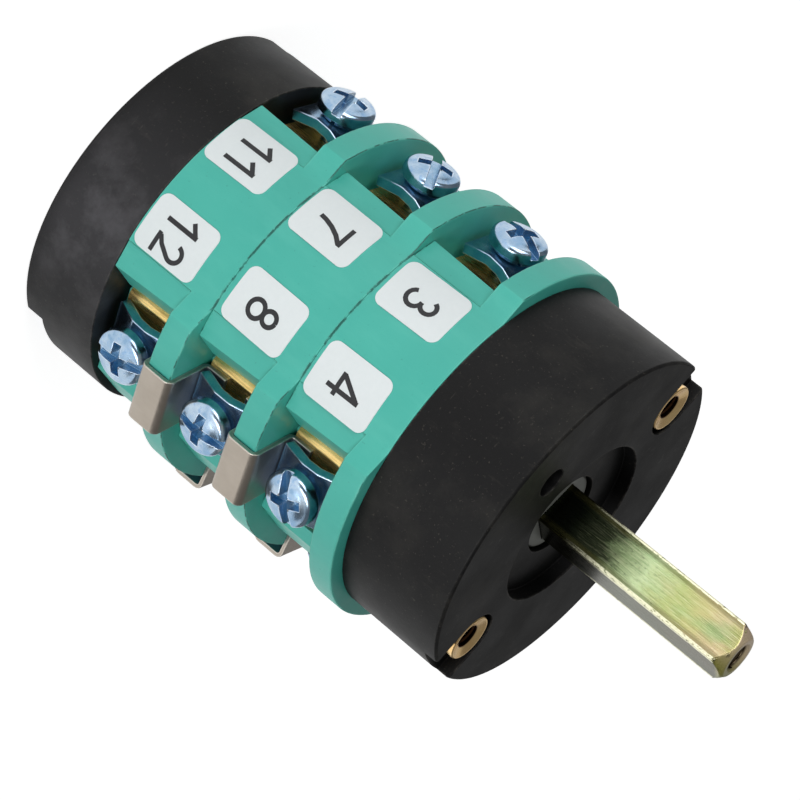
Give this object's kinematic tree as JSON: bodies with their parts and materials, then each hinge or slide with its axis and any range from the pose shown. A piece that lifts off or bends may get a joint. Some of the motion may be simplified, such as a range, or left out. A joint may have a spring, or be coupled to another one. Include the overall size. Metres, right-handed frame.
{
  "type": "rotary cam switch",
  "caption": "Round cam-operated reversing switch with stacked green contact blocks, screw terminals, black end housings and a square drive shaft; worked by a foot pedal.",
  "frame": {"origin": "centre of the rear cap's flat rear face, on which the switch stands", "axes": "+Z along the shaft, out of the front face; -Y towards the side with the number labels; +X towards the even terminals"},
  "size_m": [0.067, 0.062, 0.1255],
  "materials": {
    "black_phenolic": "moulded phenolic, slightly mottled, satin",
    "green_plastic": "moulded plastic, sea green, satin",
    "bright_zinc": "steel with bright blue zinc plating",
    "yellow_zinc": "drawn steel with iridescent yellow zinc plating",
    "spring_steel": "drawn spring wire",
    "brass_strip": "stamped brass strip",
    "copper_brass": "turned copper alloy",
    "nickel_plate": "strip with dull nickel plating",
    "grey_plastic": "pale grey plastic",
    "white_plastic": "natural acetal"
  },
  "bodies": {
    "housing": {"rear_cap": "black_phenolic", "contact_block_rear": "green_plastic", "contact_block_middle": "green_plastic", "contact_block_front": "green_plastic", "front_housing": "black_phenolic", "mounting_inserts": "copper_brass", "tie_bolts": "bright_zinc", "terminal_1": "brass_strip", "terminal_2": "brass_strip", "terminal_3": "brass_strip", "terminal_4": "brass_strip", "terminal_5": "brass_strip", "terminal_6": "brass_strip", "terminal_7": "brass_strip", "terminal_8": "brass_strip", "terminal_9": "brass_strip", "terminal_10": "brass_strip", "terminal_11": "brass_strip", "terminal_12": "brass_strip", "terminal_screws": "bright_zinc", "saddle_washers": "bright_zinc", "spring_washers": "bright_zinc", "jumper_4_8": "nickel_plate", "jumper_8_12": "nickel_plate", "jumper_2_6": "nickel_plate", "jumper_6_10": "nickel_plate", "jumper_1_5": "nickel_plate", "jumper_5_9": "nickel_plate", "contact_spring_1_2": "spring_steel", "contact_spring_3_4": "spring_steel", "contact_spring_5_6": "spring_steel", "contact_spring_7_8": "spring_steel", "contact_spring_9_10": "spring_steel", "contact_spring_11_12": "spring_steel", "detent_spring_a": "spring_steel", "detent_spring_b": "spring_steel"},
    "shaft": {"drive_shaft": "yellow_zinc", "shaft_bush": "grey_plastic", "stop_plate": "bright_zinc", "star_wheel": "white_plastic", "cam_rear": "white_plastic", "cam_middle": "white_plastic", "cam_front": "white_plastic"},
    "contact_1_2": {"plunger_1_2": "black_phenolic", "contact_bridge_1_2": "copper_brass"},
    "contact_3_4": {"plunger_3_4": "black_phenolic", "contact_bridge_3_4": "copper_brass"},
    "contact_5_6": {"plunger_5_6": "black_phenolic", "contact_bridge_5_6": "copper_brass"},
    "contact_7_8": {"plunger_7_8": "black_phenolic", "contact_bridge_7_8": "copper_brass"},
    "contact_9_10": {"plunger_9_10": "black_phenolic", "contact_bridge_9_10": "copper_brass"},
    "contact_11_12": {"plunger_11_12": "black_phenolic", "contact_bridge_11_12": "copper_brass"},
    "detent_a": {"detent_slider_a": "grey_plastic"},
    "detent_b": {"detent_slider_b": "grey_plastic"}
  },
  "joints": [
    {"name": "shaft_turn", "type": "hinge", "parent": "housing", "child": "shaft", "pos_m": [0, 0, 0.08], "axis": [0, 0, 1], "range_deg": [-45, 45]},
    {"name": "contact_slide_1_2", "type": "slide", "parent": "housing", "child": "contact_1_2", "axis": [0, 1, 0], "range_m": [-0.0016, 0.0016], "deforming": ["contact_spring_1_2"]},
    {"name": "contact_slide_3_4", "type": "slide", "parent": "housing", "child": "contact_3_4", "axis": [0, -1, 0], "range_m": [-0.0016, 0.0016], "deforming": ["contact_spring_3_4"]},
    {"name": "contact_slide_5_6", "type": "slide", "parent": "housing", "child": "contact_5_6", "axis": [0, 1, 0], "range_m": [-0.0016, 0.0016], "deforming": ["contact_spring_5_6"]},
    {"name": "contact_slide_7_8", "type": "slide", "parent": "housing", "child": "contact_7_8", "axis": [0, -1, 0], "range_m": [-0.0016, 0.0016], "deforming": ["contact_spring_7_8"]},
    {"name": "contact_slide_9_10", "type": "slide", "parent": "housing", "child": "contact_9_10", "axis": [0, 1, 0], "range_m": [-0.0016, 0.0016], "deforming": ["contact_spring_9_10"]},
    {"name": "contact_slide_11_12", "type": "slide", "parent": "housing", "child": "contact_11_12", "axis": [0, -1, 0], "range_m": [-0.0016, 0.0016], "deforming": ["contact_spring_11_12"]},
    {"name": "detent_slide_a", "type": "slide", "parent": "housing", "child": "detent_a", "axis": [0, -1, 0], "range_m": [-0.0016, 0], "stiffness_N_per_m": 800, "springref_m": -0.002, "deforming": ["detent_spring_a"]},
    {"name": "detent_slide_b", "type": "slide", "parent": "housing", "child": "detent_b", "axis": [0, 1, 0], "range_m": [-0.0016, 0], "stiffness_N_per_m": 800, "springref_m": -0.002, "deforming": ["detent_spring_b"]}
  ],
  "couplings": [
    {"joint": "contact_slide_1_2", "follows": "shaft_turn", "m_per_rad": 0.0019099},
    {"joint": "contact_slide_3_4", "follows": "shaft_turn", "m_per_rad": -0.0019099},
    {"joint": "contact_slide_5_6", "follows": "shaft_turn", "m_per_rad": 0.0019099},
    {"joint": "contact_slide_7_8", "follows": "shaft_turn", "m_per_rad": -0.0019099},
    {"joint": "contact_slide_9_10", "follows": "shaft_turn", "m_per_rad": 0.0019099},
    {"joint": "contact_slide_11_12", "follows": "shaft_turn", "m_per_rad": -0.0019099}
  ]
}
